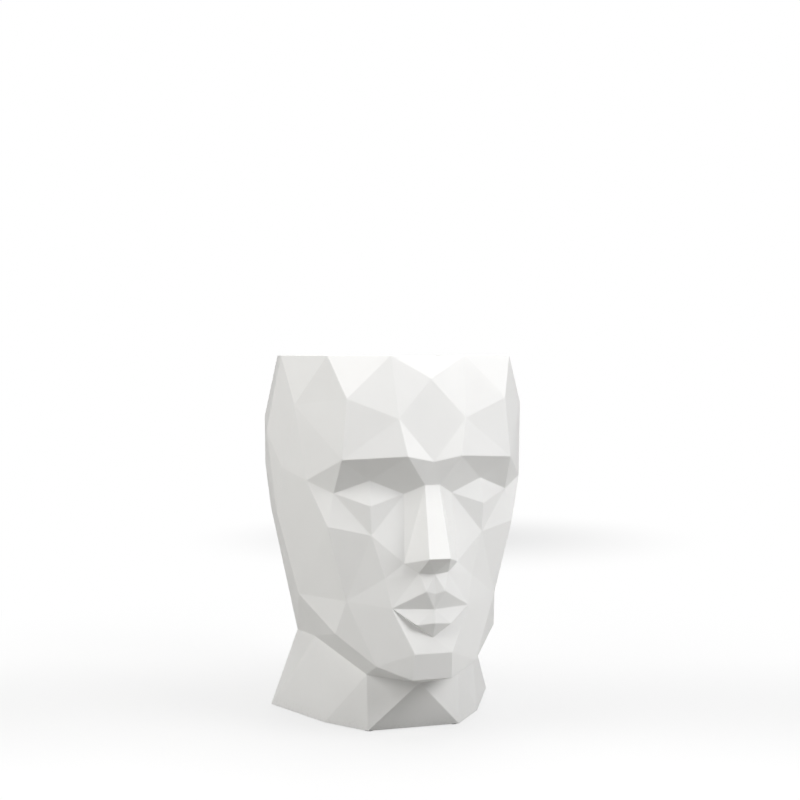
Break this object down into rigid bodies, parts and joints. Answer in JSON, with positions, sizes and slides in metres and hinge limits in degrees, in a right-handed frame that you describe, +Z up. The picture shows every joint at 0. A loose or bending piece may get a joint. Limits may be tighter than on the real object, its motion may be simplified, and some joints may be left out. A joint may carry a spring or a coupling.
{
  "type": "light-up flower pot",
  "caption": "White faceted head-shaped flower pot, open at the forehead, with a lift-out planting liner and a rechargeable lamp under a frosted dome in its recessed floor.",
  "frame": {"origin": "on the ground, at the middle of the pot's box", "axes": "+Z up, the face looks along -Y, +X towards the right of a viewer who faces it"},
  "size_m": [0.39, 0.51, 0.55],
  "materials": {
    "shell_white": "moulded satin white, translucent",
    "liner_grey": "moulded matt pale grey",
    "lamp_white": "fine moulded texture",
    "frosted": "frosted, diffusing",
    "seal_grey": "matt",
    "rubber_black": "matt",
    "steel": "zinc plated",
    "brass": "turned",
    "aluminium": "bead blasted",
    "board_green": "solder mask",
    "board_white": "white solder mask",
    "switch_black": "moulded",
    "cell_wrap": "shrink wrap",
    "led_lens": "silicone lens",
    "clear": "polished acrylic",
    "lead_red": "insulated wire",
    "lead_black": "insulated wire"
  },
  "bodies": {
    "pot": {"head_shell": "shell_white", "lamp_base": "lamp_white", "dome_ring": "lamp_white", "dome": "frosted", "base_gasket": "seal_grey", "dome_seal": "seal_grey", "foot_1": "rubber_black", "foot_2": "rubber_black", "foot_3": "rubber_black", "foot_4": "rubber_black", "base_screw_1": "steel", "base_screw_2": "steel", "base_screw_3": "steel", "base_screw_4": "steel", "board_screw_1": "steel", "board_screw_2": "steel", "board_screw_3": "steel", "board_screw_4": "steel", "charge_socket": "steel", "cap_pin": "steel", "battery_strap": "steel", "strap_screw_1": "steel", "strap_screw_2": "steel", "sink_screw_1": "steel", "sink_screw_2": "steel", "sink_screw_3": "steel", "sink_screw_4": "steel", "shell_insert_1": "brass", "shell_insert_2": "brass", "shell_insert_3": "brass", "shell_insert_4": "brass", "heat_sink": "aluminium", "control_board": "board_green", "led_board": "board_white", "tact_switch": "switch_black", "battery_tray": "switch_black", "battery_cell_1": "cell_wrap", "battery_cell_2": "cell_wrap", "battery_cell_3": "cell_wrap", "battery_cell_4": "cell_wrap", "led_1": "led_lens", "led_2": "led_lens", "led_3": "led_lens", "led_4": "led_lens", "led_5": "led_lens", "led_6": "led_lens", "led_7": "led_lens", "led_8": "led_lens", "light_pipe": "clear", "battery_lead_pos": "lead_red", "led_lead_pos": "lead_red", "battery_lead_neg": "lead_black", "led_lead_neg": "lead_black"},
    "liner": {"planting_liner": "liner_grey"},
    "plug": {"drain_plug": "rubber_black"},
    "button": {"power_button": "rubber_black"},
    "cap": {"charge_cap": "rubber_black"}
  },
  "joints": [
    {"name": "liner_lift", "type": "slide", "parent": "pot", "child": "liner", "axis": [0, 0, 1], "range_m": [0, 0.36]},
    {"name": "drain_plug_pull", "type": "slide", "parent": "liner", "child": "plug", "axis": [0, 0, 1], "range_m": [0, 0.025]},
    {"name": "power_button_press", "type": "slide", "parent": "pot", "child": "button", "axis": [0, 0, 1], "range_m": [0, 0.001], "stiffness_N_per_m": 600},
    {"name": "charge_cap_swing", "type": "hinge", "parent": "pot", "child": "cap", "pos_m": [0, 0.0626, 0.0266], "axis": [1, 0, 0], "range_deg": [0, 100]}
  ]
}
